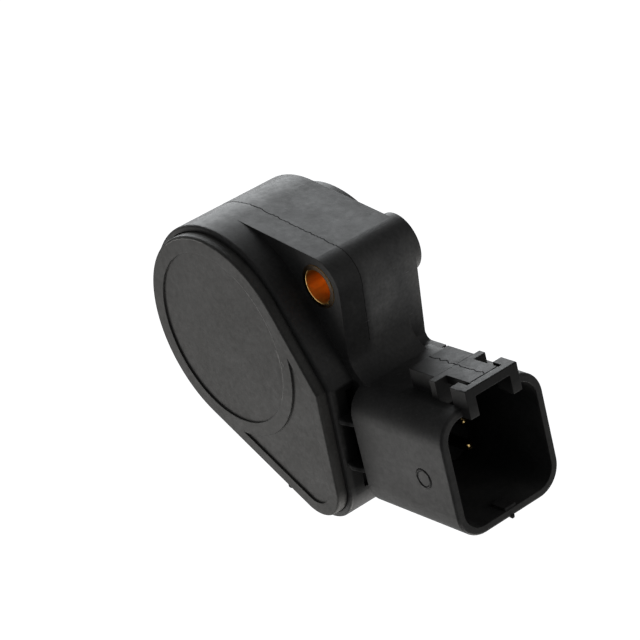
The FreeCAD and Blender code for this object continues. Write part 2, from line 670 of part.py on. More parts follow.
def make_sleeve(name, turn):
    """A brass compression sleeve, from just proud of an ear to the mounting plane."""
    body = new_body(name)

    def ring(sketch):
        add_bolt_circle(sketch, turn, D["sleeve_r"])
        add_bolt_circle(sketch, turn, D["sleeve_bore_r"])

    raise_outline(body, name + "_ring", ZERO, D["ear_front"] + D["sleeve_proud"], ring)
    return body


def make_rotor():
    """The drive hub: a turned form with a socket for the pedal shaft, a seal groove and a stop tab."""
    body = new_body("rotor")
    rear = -D["hub_rear"]
    raise_outline(body, "hub", rear, flange_under, lambda sketch: add_circle(sketch, ZERO, ZERO, D["hub_r"]))
    raise_outline(body, "flange", flange_under, flange_top,
                  lambda sketch: add_circle(sketch, ZERO, ZERO, D["flange_r"]))
    tab_low = D["tab_angle"] - D["tab_half_angle"]
    tab_high = D["tab_angle"] + D["tab_half_angle"]
    raise_outline(body, "stop_tab", flange_under, flange_top,
                  lambda sketch: add_sector(sketch, D["flange_r"] - D["flange_thick"], D["tab_r"],
                                            tab_low, tab_high))
    raise_outline(body, "front_boss", flange_top, boss_top,
                  lambda sketch: add_circle(sketch, ZERO, ZERO, D["front_boss_r"]))
    raise_outline(body, "journal", boss_top, cover_under - D["pivot_end"],
                  lambda sketch: add_circle(sketch, ZERO, ZERO, D["journal_r"]))
    hook_start = D["hook_angle"] + D["hook_gap_angle"]
    raise_outline(body, "spring_dog", flange_under - D["hook_high"], flange_under,
                  lambda sketch: add_sector(sketch, coil_r - D["wire_half"] - D["hook_side"],
                                            coil_r + D["wire_half"] + D["hook_side"],
                                            hook_start, hook_start + D["hook_span"]))
    socket = front_sketch(body, "drive_socket", rear)
    half_long = D["socket_long"] / 2
    half_wide = D["socket_wide"] / 2
    add_rectangle(socket, -half_long, -half_wide, half_long, half_wide)
    pocket(body, socket, D["socket_deep"], reverse=True)
    groove_half = D["seal_cord"] / 2 + D["seal_side_gap"]

    def ring(sketch):
        add_circle(sketch, ZERO, ZERO, D["hub_r"] + D["run_gap"])
        add_circle(sketch, ZERO, ZERO, D["hub_r"] - D["seal_cord"])

    sink_outline(body, "seal_groove", D["seal_height"] + groove_half, D["seal_height"] - groove_half, ring)
    return body


def make_ring(name, low, high, outer, inner):
    """A flat ring about the rotor's axis."""
    body = new_body(name)

    def ring(sketch):
        add_circle(sketch, ZERO, ZERO, outer)
        add_circle(sketch, ZERO, ZERO, inner)

    raise_outline(body, name + "_ring", low, high, ring)
    return body


def make_seal():
    """The square-section sealing ring in the hub's groove."""
    half = D["seal_cord"] / 2
    return make_ring("rotor_seal", D["seal_height"] - half, D["seal_height"] + half,
                     D["hub_r"] - D["press_gap"], D["hub_r"] - D["seal_cord"] + D["press_gap"])


def make_washer():
    """The thrust washer on the bearing's end."""
    return make_ring("thrust_washer", D["bearing_top"], D["bearing_top"] + D["washer_thick"],
                     bearing_r, D["hub_r"] + D["slip_gap"])


def make_spring():
    """The square-wire torsion spring, which rises from the housing's hook to the rotor's dog."""
    half = D["wire_half"].number
    low = floor_top.number + half + D["coil_seat"].number
    high = flange_under.number - half - D["coil_seat"].number
    radius = coil_r.number
    pitch = (high - low) / D["coil_turns"].number
    path = Part.Wire(Part.makeHelix(pitch, high - low, radius).Edges)
    corners = [FreeCAD.Vector(radius + half * x, 0, half * z) for x, z in ((-1, -1), (1, -1), (1, 1), (-1, 1))]
    section = Part.makePolygon(corners + corners[:1])
    spring = doc.addObject("Part::Feature", "return_spring")
    spring.Label = "return_spring"
    spring.Shape = path.makePipeShell([section], True, True)
    upright = FreeCAD.Rotation(FreeCAD.Vector(1, 0, 0), 90)
    turn = FreeCAD.Rotation(FreeCAD.Vector(0, 0, 1), D["hook_angle"].number)
    spring.Placement = FreeCAD.Placement(FreeCAD.Vector(0, -low, 0), upright * turn)
    return spring


def make_board():
    """The plate with the resistive tracks: it lies on the ledge under the lid's skirt."""
    body = new_body("track_board")
    raise_outline(body, "board", board_seat, cover_seat,
                  lambda sketch: add_teardrop(sketch, board_inset + D["slip_gap"]))
    sink_outline(body, "pivot_hole", cover_seat, board_seat,
                 lambda sketch: add_circle(sketch, ZERO, ZERO, D["pivot_boss_r"] + D["board_hole_gap"]))

    def lead_holes(sketch):
        for number, y, z, lead in terminal_rows():
            add_square(sketch, lead, z, pin_hole)

    sink_outline(body, "lead_holes", cover_seat, board_seat, lead_holes)
    return body


def make_terminal(number, y, z, lead):
    """A square pin that runs back from the connector and turns forward through the board."""
    body = new_body("terminal_%d" % number)
    tip = D["pin_tip_x"]
    bend = D["pin_bend"]
    end = -(cover_seat + D["lead_proud"])
    path = sketch_on(body, "pin_path_%d" % number, "XY_Plane", z)
    run = add_line(path, vec(tip.number, y.number), vec(lead.number + bend.number, y.number))
    turn = add_arc(path, vec(lead.number + bend.number, y.number - bend.number), bend.number, 90, 180)
    rise = add_line(path, vec(lead.number, y.number - bend.number), vec(lead.number, end.number))
    rule(path, "Horizontal", run)
    rule(path, "Vertical", rise)
    rule(path, "Tangent", run, 2, turn, 1)
    rule(path, "Tangent", turn, 2, rise, 1)
    measure(path, "Radius", bend, turn)
    pin_point(path, run, 1, tip, y)
    pin_point(path, rise, 2, lead, end)
    section = sketch_on(body, "pin_section_%d" % number, "YZ_Plane", tip)
    add_square(section, y, z, D["pin_half"])
    pipe = body.newObject("PartDesign::AdditivePipe", "pin_%d" % number)
    pipe.Profile = section
    pipe.Spine = path
    doc.recompute()
    dress(body, "PartDesign::Chamfer", "pin_tip_%d" % number, lambda edge: flat_at(edge, "X", tip.number),
          "Size", D["pin_taper"])
    return body


def make_wiper(name, z):
    """A spring brush: a flat foot on the flange and a finger that rises to the board."""
    body = new_body(name)
    thick = D["strip_thick"]
    foot = -flange_top
    top = -(board_seat - D["brush_gap"])
    end = D["strip_reach"] + D["strip_tip"]
    reach = D["strip_reach"]
    heel = -D["strip_base"]
    hook = top + D["strip_drop"]
    places = [(heel, foot), (ZERO, foot), (reach, top + thick), (end, hook + thick),
              (end, hook), (reach, top), (ZERO, foot - thick), (heel, foot - thick)]
    points = [vec(x.number, y.number) for x, y in places]
    sketch = sketch_on(body, name + "_strip", "XY_Plane", z - D["strip_wide"] / 2)
    sides = [add_line(sketch, points[i], points[(i + 1) % len(points)]) for i in range(len(points))]
    for index, side in enumerate(sides):
        rule(sketch, "Coincident", side, 2, sides[(index + 1) % len(sides)], 1)
        pin_point(sketch, side, 1, *places[index])
    pad(body, sketch, D["strip_wide"])
    return body


def make_all():
    """Builds every sub-part."""
    pieces = [make_housing(), make_cover(),
              make_sleeve("bolt_sleeve_upper", 0), make_sleeve("bolt_sleeve_lower", 180),
              make_rotor(), make_seal(), make_washer(), make_spring(), make_board(),
              make_wiper("wiper_inner", D["wiper_inner_z"]), make_wiper("wiper_outer", D["wiper_outer_z"])]
    pieces += [make_terminal(*row) for row in terminal_rows()]
    doc.recompute()
    return pieces


def check_and_write(pieces):
    """Stops on any failed object or bad shape, then writes each sub-part to its own file."""
    for thing in doc.Objects:
        if "Invalid" in thing.State or "Error" in thing.State:
            raise RuntimeError("%s failed: %s" % (thing.Name, thing.State))
    for piece in pieces:
        if piece.Shape.isNull() or not piece.Shape.isValid():
            raise RuntimeError("%s has no valid shape" % piece.Label)
    os.makedirs("parts", exist_ok=True)
    for piece in pieces:
        piece.Shape.exportStep("parts/%s.step" % piece.Label)
        print("%-20s %9.2f mm3, %d solid(s)" % (piece.Label, piece.Shape.Volume, len(piece.Shape.Solids)))


check_and_write(make_all())
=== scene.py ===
"""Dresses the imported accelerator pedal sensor: materials, small moulded details, studio light and camera."""
import math
import random

import bmesh
import bpy
from mathutils import Matrix, Vector


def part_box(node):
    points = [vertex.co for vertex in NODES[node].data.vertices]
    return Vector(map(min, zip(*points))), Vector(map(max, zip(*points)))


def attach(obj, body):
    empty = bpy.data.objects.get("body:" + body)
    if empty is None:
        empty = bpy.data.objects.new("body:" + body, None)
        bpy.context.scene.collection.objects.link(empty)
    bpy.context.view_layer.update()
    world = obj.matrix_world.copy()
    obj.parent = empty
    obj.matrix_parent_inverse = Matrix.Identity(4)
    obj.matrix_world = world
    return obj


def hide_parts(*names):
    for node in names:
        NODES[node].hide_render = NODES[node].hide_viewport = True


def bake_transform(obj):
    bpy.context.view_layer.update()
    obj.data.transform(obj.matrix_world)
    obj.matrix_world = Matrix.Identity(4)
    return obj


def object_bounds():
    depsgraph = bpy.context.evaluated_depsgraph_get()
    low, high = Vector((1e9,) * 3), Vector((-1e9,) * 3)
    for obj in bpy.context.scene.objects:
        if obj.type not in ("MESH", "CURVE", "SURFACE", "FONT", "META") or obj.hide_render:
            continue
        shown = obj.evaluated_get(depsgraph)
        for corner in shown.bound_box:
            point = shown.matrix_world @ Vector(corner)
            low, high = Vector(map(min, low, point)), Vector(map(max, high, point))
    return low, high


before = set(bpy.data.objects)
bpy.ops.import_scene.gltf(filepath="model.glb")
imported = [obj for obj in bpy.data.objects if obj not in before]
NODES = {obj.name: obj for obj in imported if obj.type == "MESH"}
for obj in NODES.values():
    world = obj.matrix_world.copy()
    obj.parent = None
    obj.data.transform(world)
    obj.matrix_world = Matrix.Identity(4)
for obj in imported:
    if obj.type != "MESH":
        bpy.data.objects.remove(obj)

MM = 0.001
BODY = "body"
cad_low, cad_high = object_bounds()

# Camera: the cover's centre lies at this pixel of a square picture, at this scale
PICTURE = 640
AZIMUTH = math.radians(56.584)
ELEVATION = math.radians(24.499)
ROLL = math.radians(-14.027)
TARGET = Vector((0, -26.5 * MM, 0))
TARGET_PIXEL = (221.59, 338.59)
PIXELS_PER_M = 5524.9
FOCAL_PIXELS = 2664.3
SENSOR_MM = 36
CLIP_START = 0.01

# Studio, in metres and watts: each lamp's place, size, power and colour
LAMP_AIM = Vector((0, -0.01, 0))
LAMPS = {
    "key": ((-0.48, -0.46, -0.34), 0.5, 4.7, (1.0, 0.985, 0.96)),
    "back_softbox": ((-0.53, 0.35, 0.32), 0.5, 9.0, (0.95, 0.98, 1.0)),
    "side_card": ((0.60, 0.25, 0.15), 0.4, 1.3, (1.0, 0.99, 0.97)),
    "under_card": ((0.10, 0.05, -0.70), 0.4, 9.0, (1.0, 0.98, 0.95)),
}
AMBIENT = 0.2
AMBIENT_COLOUR = (0.92, 0.95, 1.0, 1)
FLOOR_DROP = 1.2
FLOOR_HALF = 8.0
FLOOR_COLOUR = (0.8, 0.8, 0.8, 1)
FLOOR_GLOW = 0.95
WHITE = (1, 1, 1, 1)

# Places on the part in millimetres, as the CAD has them
BODY_R = 21.5
EAR_R = 5.65
BOLT_R = 26.8
BOLT_ANGLE = math.radians(27.4)
EAR_X = BOLT_R * math.cos(BOLT_ANGLE)
EAR_Z = BOLT_R * math.sin(BOLT_ANGLE)
PARTING_Y = -13.9
COVER_Y = -26.5
DISC_R = 17.0
BORE_R = 3.2
SHROUD_Y = -10.7
SHROUD_SIDE_Y = -22.6
LATCH_TOP = -2.0
LATCH_STEP_X = 46.0
LATCH_JOINT_X = 53.45
GUSSET_X = 28.4
GUSSET_Z = {"gusset_upper": -12.2, "gusset_lower": -21.5}
GUSSET_HALF = 0.42

# Directions
ACROSS_X = Vector((1, 0, 0))
ACROSS_Y = Vector((0, 1, 0))
FRONT = Vector((0, -1, 0))
TOP = Vector((0, 0, 1))

# Marks in the moulded plastic: noise scales per metre, and depths
CLOUDS = 140.0
MOTTLING = 800.0
SPECKLES = 1500.0
GRAIN = 4200.0
FLOW = (40.0, 160.0, 90.0)
SCUFFS = (900.0, 350.0, 2600.0)
SCUFF_PALER = 2.4
GRAIN_DEPTH = 0.04 * MM
FLOW_DEPTH = 0.25 * MM
ROUGH_SPREAD = 0.08
EDGE_ROUND = 0.22 * MM

# Marks in the metals and the pieces inside
BORE_STREAKS = (420.0, 10.0, 420.0)
PIN_STREAKS = (60.0, 1500.0, 1500.0)
FINE_DEPTH = 0.03 * MM
PIN_ROUND = 0.4 * MM
PIN_TIP = 0.2 * MM
TIP_FADE = 0.05 * MM


def fill(tree, made, sockets):
    """Links or sets input sockets, by their names or numbers."""
    for name, value in sockets.items():
        socket = made.inputs[name]
        if isinstance(value, bpy.types.NodeSocket):
            tree.links.new(value, socket)
        else:
            socket.default_value = value


def node(tree, kind, sockets, **settings):
    """Adds a shader node with its settings and inputs."""
    made = tree.nodes.new(kind)
    for name, value in settings.items():
        setattr(made, name, value)
    fill(tree, made, sockets)
    return made


def math_node(tree, operation, first, second=0.0):
    """One operation on two numbers or sockets."""
    return node(tree, "ShaderNodeMath", {0: first, 1: second}, operation=operation).outputs[0]


def noise(tree, place, scale, detail=4.0, roughness=0.5):
    """A noise value between 0 and 1, at a scale per metre."""
    sockets = {"Vector": place, "Scale": scale, "Detail": detail, "Roughness": roughness}
    return node(tree, "ShaderNodeTexNoise", sockets).outputs[0]


def streaks(tree, place, factors, detail=3.0):
    """A noise value between 0 and 1, at a scale per metre along each axis."""
    stretched = node(tree, "ShaderNodeMapping", {"Vector": place, "Scale": factors}).outputs[0]
    return noise(tree, stretched, 1.0, detail)


def ramp(tree, factor, stops):
    """A colour from a number, by stops of place and colour."""
    made = node(tree, "ShaderNodeValToRGB", {"Fac": factor})
    elements = made.color_ramp.elements
    while len(elements) < len(stops):
        elements.new(0.5)
    for element, (place, colour) in zip(elements, stops):
        element.position = place
        element.color = (*colour, 1)
    return made.outputs[0]


def span(tree, value, low, high, to_low, to_high):
    """Maps a range of numbers to another, and holds it there."""
    sockets = {"Value": value, "From Min": low, "From Max": high, "To Min": to_low, "To Max": to_high}
    return node(tree, "ShaderNodeMapRange", sockets).outputs[0]


def blend(tree, factor, first, second, how="MIX"):
    """A mix of two colours."""
    sockets = {"Fac": factor, "Color1": first, "Color2": second}
    return node(tree, "ShaderNodeMixRGB", sockets, blend_type=how).outputs[0]


def times(colour, factor):
    """A colour made paler or darker by a factor."""
    return tuple(factor * part for part in colour)


def new_material(name):
    """An empty material with its tree, shader and object coordinates."""
    material = bpy.data.materials.new(name)
    material.use_nodes = True
    tree = material.node_tree
    tree.nodes.clear()
    shader = tree.nodes.new("ShaderNodeBsdfPrincipled")
    output = tree.nodes.new("ShaderNodeOutputMaterial")
    tree.links.new(shader.outputs[0], output.inputs[0])
    place = tree.nodes.new("ShaderNodeTexCoord").outputs["Object"]
    return material, tree, shader, place


def bump(tree, height, strength, distance, under=None):
    """A bump from a height, on top of another normal."""
    sockets = {"Height": height, "Strength": strength, "Distance": distance}
    if under is not None:
        sockets["Normal"] = under
    return node(tree, "ShaderNodeBump", sockets).outputs[0]


def rounded_edges(tree, radius, samples):
    """A normal that rounds sharp edges off."""
    return node(tree, "ShaderNodeBevel", {"Radius": radius}, samples=samples).outputs[0]


def box_mask(tree, place, low, high, fades):
    """1 inside a box given in millimetres, with sides that fade out along each axis."""
    axes = node(tree, "ShaderNodeSeparateXYZ", {0: place}).outputs
    mask = 1.0
    for axis, start, end, fade in zip(axes, low, high, fades):
        after = span(tree, axis, (start - fade) * MM, (start + fade) * MM, 0.0, 1.0)
        before = span(tree, axis, (end - fade) * MM, (end + fade) * MM, 1.0, 0.0)
        mask = math_node(tree, "MULTIPLY", mask, math_node(tree, "MULTIPLY", after, before))
    return mask


def moulded_plastic(name, dark, light, rough, specular, shades=(), edge=EDGE_ROUND):
    """Black moulded plastic: cloudy colour, fine grain, soft flow marks and small pale scuffs.

    Each shade is a box of the moulding in millimetres, as its low and high corner, the fades of its sides,
    and the factor by which painted light or shade makes its skin paler or darker.
    """
    material, tree, shader, place = new_material(name)
    cloud = noise(tree, place, CLOUDS, 5.0, 0.6)
    mottle = noise(tree, place, MOTTLING, 4.0, 0.65)
    grain = noise(tree, place, GRAIN, 2.0)
    flow = streaks(tree, place, FLOW)
    scuff = span(tree, streaks(tree, place, SCUFFS, 1.0), 0.74, 0.82, 0.0, 0.35)
    speckle = span(tree, noise(tree, place, SPECKLES, 3.0), 0.3, 0.7, 0.84, 1.16)
    clouded = ramp(tree, cloud, [(0.3, dark), (0.7, light)])
    base = blend(tree, 1.0, clouded, speckle, "MULTIPLY")
    colour = blend(tree, scuff, base, (*times(light, SCUFF_PALER), 1))
    # Painted light and shade: each box multiplies the colour by its factor
    for low, high, fades, factor in shades:
        mask = box_mask(tree, place, low, high, fades)
        colour = blend(tree, mask, colour, (factor, factor, factor, 1), "MULTIPLY")
    cloud_part = math_node(tree, "MULTIPLY", cloud, 0.4)
    flow_part = math_node(tree, "MULTIPLY", flow, 0.2)
    mottle_part = math_node(tree, "MULTIPLY", mottle, 0.4)
    rough_field = math_node(tree, "ADD", cloud_part, math_node(tree, "ADD", flow_part, mottle_part))
    rounded = rounded_edges(tree, edge, 4) if edge else None
    fine = bump(tree, grain, 0.45, GRAIN_DEPTH, rounded)
    wavy = bump(tree, flow, 0.25, FLOW_DEPTH, fine)
    sheen = span(tree, rough_field, 0.35, 0.65, rough - ROUGH_SPREAD, rough + ROUGH_SPREAD)
    fill(tree, shader, {"Base Color": colour, "Specular IOR Level": specular, "Roughness": sheen,
                        "Normal": wavy})
    return material


def metal(name, dark, light, rough, streak_scales):
    """Drawn or turned metal with fine streaks."""
    material, tree, shader, place = new_material(name)
    lines = streaks(tree, place, streak_scales)
    cloud = noise(tree, place, 600.0, 3.0)
    colour = ramp(tree, lines, [(0.3, dark), (0.65, light)])
    sheen = span(tree, cloud, 0.3, 0.7, rough - 0.07, rough + 0.1)
    fill(tree, shader, {"Base Color": colour, "Metallic": 1.0, "Roughness": sheen,
                        "Normal": bump(tree, lines, 0.15, FINE_DEPTH)})
    return material


def sleeve_metal(name, dark, light, dull):
    """Turned brass: a bright bore with streaks along it, and dull, dark end faces with a noisy tone."""
    material, tree, shader, place = new_material(name)
    lines = streaks(tree, place, BORE_STREAKS)
    end_tone = noise(tree, place, 900.0, 4.0)
    bore = ramp(tree, lines, [(0.3, dark), (0.65, light)])
    facing = tree.nodes.new("ShaderNodeNewGeometry").outputs["Normal"]
    facing_y = node(tree, "ShaderNodeSeparateXYZ", {0: facing}).outputs[1]
    end_face = math_node(tree, "GREATER_THAN", math_node(tree, "ABSOLUTE", facing_y), 0.7)
    # The faces that look along the rotor's axis get a dull, dark colour with a noisy tone
    dark_ends = ramp(tree, end_tone, [(0.35, times(dull, 0.5)), (0.65, dull)])
    sheen = span(tree, lines, 0.3, 0.7, 0.36, 0.27)
    colour = blend(tree, end_face, bore, dark_ends)
    fill(tree, shader, {"Base Color": colour, "Metallic": 1.0, "Roughness": sheen,
                        "Normal": bump(tree, lines, 0.05, FINE_DEPTH)})
    return material


def terminal_metal(name, shaft, tip, tip_start):
    """Plated pins: dark brown along the shaft as painted shade, and bright gold on the tips only in noisy
    spots, as painted glints.
    """
    material, tree, shader, place = new_material(name)
    lines = streaks(tree, place, PIN_STREAKS)
    along = node(tree, "ShaderNodeSeparateXYZ", {0: place}).outputs[0]
    at_tip = span(tree, along, tip_start - TIP_FADE, tip_start + TIP_FADE, 0.0, 1.0)
    # Painted glints: bright gold only in noisy spots at the tip
    glint_spots = span(tree, noise(tree, place, 1300.0, 1.0), 0.5, 0.6, 0.0, 1.0)
    bright = math_node(tree, "MULTIPLY", at_tip, glint_spots)
    # Painted shade: a dull dark brown along the shaft
    dull = ramp(tree, lines, [(0.3, times(shaft, 0.6)), (0.7, shaft)])
    glinting_gold = ramp(tree, lines, [(0.3, times(tip, 0.8)), (0.7, tip)])
    rounded = rounded_edges(tree, PIN_ROUND, 6)
    fill(tree, shader, {"Base Color": blend(tree, bright, dull, glinting_gold), "Metallic": 1.0,
                        "Roughness": span(tree, lines, 0.3, 0.7, 0.24, 0.36),
                        "Normal": bump(tree, lines, 0.1, FINE_DEPTH, rounded)})
    return material


def plain_solid(name, dark, light, rough):
    """A moulded or pressed piece inside: slight mottling and grain."""
    material, tree, shader, place = new_material(name)
    cloud = noise(tree, place, 350.0, 4.0)
    grain = noise(tree, place, 5000.0, 2.0)
    fill(tree, shader, {"Base Color": ramp(tree, cloud, [(0.3, dark), (0.7, light)]),
                        "Roughness": span(tree, cloud, 0.3, 0.7, rough - 0.06, rough + 0.06),
                        "Normal": bump(tree, grain, 0.15, FINE_DEPTH)})
    return material


# Painted light and shade: the wall behind the parting line is painted paler where light from the back right
# falls, the latch is painted darker as its shade, and the gap beside the neck is painted dark as its shadow
PAINTED_LIGHT_WALL = ((20.0, PARTING_Y + 0.5, 1.5), (36.0, 4.0, 13.0), (2.0, 0.8, 4.0), 4.6)
PAINTED_SHADE_LATCH = ((38.8, -18.0, -5.9), (56.0, -3.4, -1.0), (0.25, 0.25, 0.9), 0.4)
PAINTED_SHADOW_GAP = ((24.5, -23.4, -27.5), (28.6, -16.5, -5.5), (0.25, 0.25, 0.25), 0.2)

# Materials, each with its dark and its light colour as linear red, green and blue
housing_black = moulded_plastic("housing_black", (0.0130, 0.0130, 0.0129), (0.0250, 0.0247, 0.0241),
                                rough=0.52, specular=0.05, shades=(PAINTED_LIGHT_WALL, PAINTED_SHADE_LATCH, PAINTED_SHADOW_GAP))
cover_black = moulded_plastic("cover_black", (0.0165, 0.0161, 0.0152), (0.0335, 0.0328, 0.0311),
                              rough=0.6, specular=0.07)
# Near black, far darker than the moulding: painted shade on the flash ridges, the latch's joint and step lines
# and the cover's flash
painted_seam_shade = moulded_plastic("painted_seam_shade", (0.001, 0.001, 0.001), (0.0025, 0.0025, 0.0025),
                             rough=0.75, specular=0.02, edge=0)
# Pale grey: wear for the scratches and the burrs near the cover's edge, and painted highlight along the disc's
# edge
burr_and_highlight_grey = moulded_plastic("burr_and_highlight_grey", (0.07, 0.069, 0.066), (0.12, 0.118, 0.114),
                            rough=0.6, specular=0.07, edge=0)
sleeve_brass = sleeve_metal("sleeve_brass", (0.58, 0.30, 0.06), (0.92, 0.56, 0.16),
                            dull=(0.024, 0.015, 0.007))
# A painted highlight: bright brass for the thin ridge along a bolt sleeve's bore
glint_brass = metal("glint_brass", (0.62, 0.34, 0.08), (0.95, 0.62, 0.24), 0.3, (420.0, 420.0, 420.0))
# Dark brown shaft as painted shade, gold tips only in painted glints
terminal_gold = terminal_metal("terminal_gold", shaft=(0.03, 0.02, 0.008), tip=(0.95, 0.68, 0.28),
                               tip_start=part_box("terminal_1")[1].x - PIN_TIP)
spring_steel = metal("spring_steel", (0.42, 0.42, 0.44), (0.62, 0.62, 0.64), 0.3, (900.0, 900.0, 900.0))
wiper_bronze = metal("wiper_bronze", (0.48, 0.28, 0.12), (0.70, 0.45, 0.22), 0.3, (80.0, 900.0, 900.0))
rotor_white = plain_solid("rotor_white", (0.60, 0.58, 0.52), (0.70, 0.68, 0.62), 0.45)
washer_white = plain_solid("washer_white", (0.70, 0.69, 0.65), (0.78, 0.77, 0.73), 0.35)
seal_black = plain_solid("seal_black", (0.016, 0.016, 0.016), (0.026, 0.026, 0.026), 0.5)
board_green = plain_solid("board_green", (0.05, 0.15, 0.07), (0.07, 0.20, 0.10), 0.4)

# The nodes that aren't listed are the terminals
FINISHES = {
    "housing": housing_black, "front_cover": cover_black, "rotor": rotor_white, "rotor_seal": seal_black,
    "thrust_washer": washer_white, "return_spring": spring_steel, "track_board": board_green,
    "bolt_sleeve_upper": sleeve_brass, "bolt_sleeve_lower": sleeve_brass,
    "wiper_inner": wiper_bronze, "wiper_outer": wiper_bronze,
}
for node_name, cad in NODES.items():
    cad.data.materials.clear()
    cad.data.materials.append(FINISHES.get(node_name, terminal_gold))


def add_piece(name, form, material):
    """Makes a mesh piece on the housing from a finished form."""
    bmesh.ops.recalc_face_normals(form, faces=form.faces[:])
    mesh = bpy.data.meshes.new(name)
    form.to_mesh(mesh)
    form.free()
    mesh.materials.append(material)
    piece = bpy.data.objects.new(name, mesh)
    bpy.context.scene.collection.objects.link(piece)
    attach(piece, BODY)


def add_ridge(name, spine, material, width, height, wander):
    """A thin three-sided line of flash or burr, with its sizes in millimetres.

    The spine is a list of places, each with an outward and a sideways direction.
    """
    form = bmesh.new()
    draws = random.Random(name)
    sunk = 0.006
    rows = []
    for place, outward, across in spine:
        middle = place + across * draws.uniform(-wander, wander)
        crest = middle + outward * height * draws.uniform(0.6, 1.0)
        half = across * width / 2
        corners = (middle - half - outward * sunk, crest, middle + half - outward * sunk)
        rows.append([form.verts.new(corner * MM) for corner in corners])
    for first, second in zip(rows, rows[1:]):
        for turn in range(3):
            after = (turn + 1) % 3
            form.faces.new((first[turn], first[after], second[after], second[turn]))
    form.faces.new(rows[0])
    form.faces.new(rows[-1])
    add_piece(name, form, material)


def add_nub(name, low, high, material, rounding, wander):
    """A small rounded lump between two corners in millimetres, slightly out of true."""
    form = bmesh.new()
    draws = random.Random(name)
    bmesh.ops.create_cube(form, size=1.0)
    for vert in form.verts:
        for axis in range(3):
            share = vert.co[axis] + 0.5 + draws.uniform(-wander, wander)
            vert.co[axis] = (low[axis] + (high[axis] - low[axis]) * share) * MM
    bmesh.ops.bevel(form, geom=form.edges[:], offset=rounding * MM, segments=3, profile=0.5, affect="EDGES")
    add_piece(name, form, material)


def steps(length, spacing):
    """Even shares from 0 to 1 along a length."""
    count = max(2, round(length / spacing))
    return [index / count for index in range(count + 1)]


def straight(start, end, outward, across, spacing):
    """Places along a straight line between two points."""
    first = Vector(start)
    last = Vector(end)
    shares = steps((last - first).length, spacing)
    return [(first.lerp(last, share), outward, across) for share in shares]


def outward_at(angle):
    """The direction at an angle round the rotor's axis, from the connector's side upwards."""
    return Vector((math.cos(angle), 0, math.sin(angle)))


def side_arc(middle, radius, first, last, spacing):
    """Places along a round stretch of the outline, which face away from its middle."""
    spine = []
    for share in steps(abs(last - first) * radius, spacing):
        outward = outward_at(first + (last - first) * share)
        spine.append((Vector(middle) + outward * radius, outward, ACROSS_Y))
    return spine


def face_arc(middle, radius, first, last, spacing):
    """Places along an arc on a face that looks to the front, with its ends given in degrees."""
    spine = side_arc(middle, radius, math.radians(first), math.radians(last), spacing)
    return [(place, FRONT, outward) for place, outward, _ in spine]


def add_parting_line():
    """The ragged flash where the mould halves met: over the body and the ear, and down the ear's wall."""
    seam_start = math.radians(112)
    wall_length = 11.5
    spacing = 0.4
    flat_angle = BOLT_ANGLE + math.acos((BODY_R - EAR_R) / BOLT_R)
    wall_angle = flat_angle - math.pi / 2
    flat_out = outward_at(flat_angle)
    wall_out = outward_at(wall_angle)
    body = Vector((0, PARTING_Y, 0))
    ear = Vector((EAR_X, PARTING_Y, EAR_Z))
    wall_top = ear + wall_out * EAR_R
    wall_foot = wall_top - flat_out * wall_length
    over = side_arc(body, BODY_R, seam_start, flat_angle, spacing)
    over += straight(body + flat_out * BODY_R, ear + flat_out * EAR_R, flat_out, ACROSS_Y, spacing)[1:]
    add_ridge("parting_line_top", over, painted_seam_shade, width=0.22, height=0.05, wander=0.17)
    down = side_arc(ear, EAR_R, flat_angle, wall_angle, spacing)
    down += straight(wall_top, wall_foot, wall_out, ACROSS_Y, spacing)[1:]
    add_ridge("parting_line_ear", down, painted_seam_shade, width=0.14, height=0.04, wander=0.05)


def add_latch_details():
    """The latch's ragged seam, a dark strip painted as the shade in the joint behind its bar, a dark line
    painted as the shade at the step on its tongue, and the bar's raised lip.
    """
    seam = straight((39.3, -10.5, LATCH_TOP), (53.4, -10.2, LATCH_TOP), TOP, ACROSS_Y, 0.75)
    add_ridge("latch_seam", seam, painted_seam_shade, width=0.28, height=0.05, wander=0.34)
    joint_shade_line = straight((LATCH_JOINT_X, SHROUD_Y - 3.2, LATCH_TOP), (LATCH_JOINT_X, SHROUD_Y + 3.2, LATCH_TOP),
                      TOP, ACROSS_X, 0.8)
    add_ridge("latch_groove", joint_shade_line, painted_seam_shade, width=0.4, height=0.04, wander=0.03)
    step = straight((LATCH_STEP_X, SHROUD_Y - 4.5, LATCH_TOP), (LATCH_STEP_X, SHROUD_Y + 4.5, LATCH_TOP),
                    TOP, ACROSS_X, 0.6)
    add_ridge("latch_step", step, painted_seam_shade, width=0.14, height=0.02, wander=0.03)
    add_nub("latch_lip", (53.86, SHROUD_Y - 5.95, LATCH_TOP - 0.2), (55.34, SHROUD_Y + 5.95, LATCH_TOP + 0.1),
            housing_black, rounding=0.09, wander=0.0)


def add_gussets():
    """Two thin webs that run from the rim's right edge down to the connector shroud."""
    outline = ((26.3, -23.9), (27.25, -23.9), (29.6, -21.9), (29.6, -20.6), (26.3, -20.6))
    slant = 0.5
    rounding = 0.1 * MM
    for name, middle in GUSSET_Z.items():
        form = bmesh.new()
        ends = []
        for side in (-GUSSET_HALF, GUSSET_HALF):
            corners = [Vector((x, y, middle + side - slant * (x - GUSSET_X))) for x, y in outline]
            ends.append([form.verts.new(corner * MM) for corner in corners])
        form.faces.new(ends[0])
        form.faces.new(ends[1])
        for index in range(len(outline)):
            after = (index + 1) % len(outline)
            form.faces.new((ends[0][index], ends[0][after], ends[1][after], ends[1][index]))
        bmesh.ops.bevel(form, geom=form.edges[:], offset=rounding, segments=2, profile=0.5, affect="EDGES")
        add_piece(name, form, housing_black)


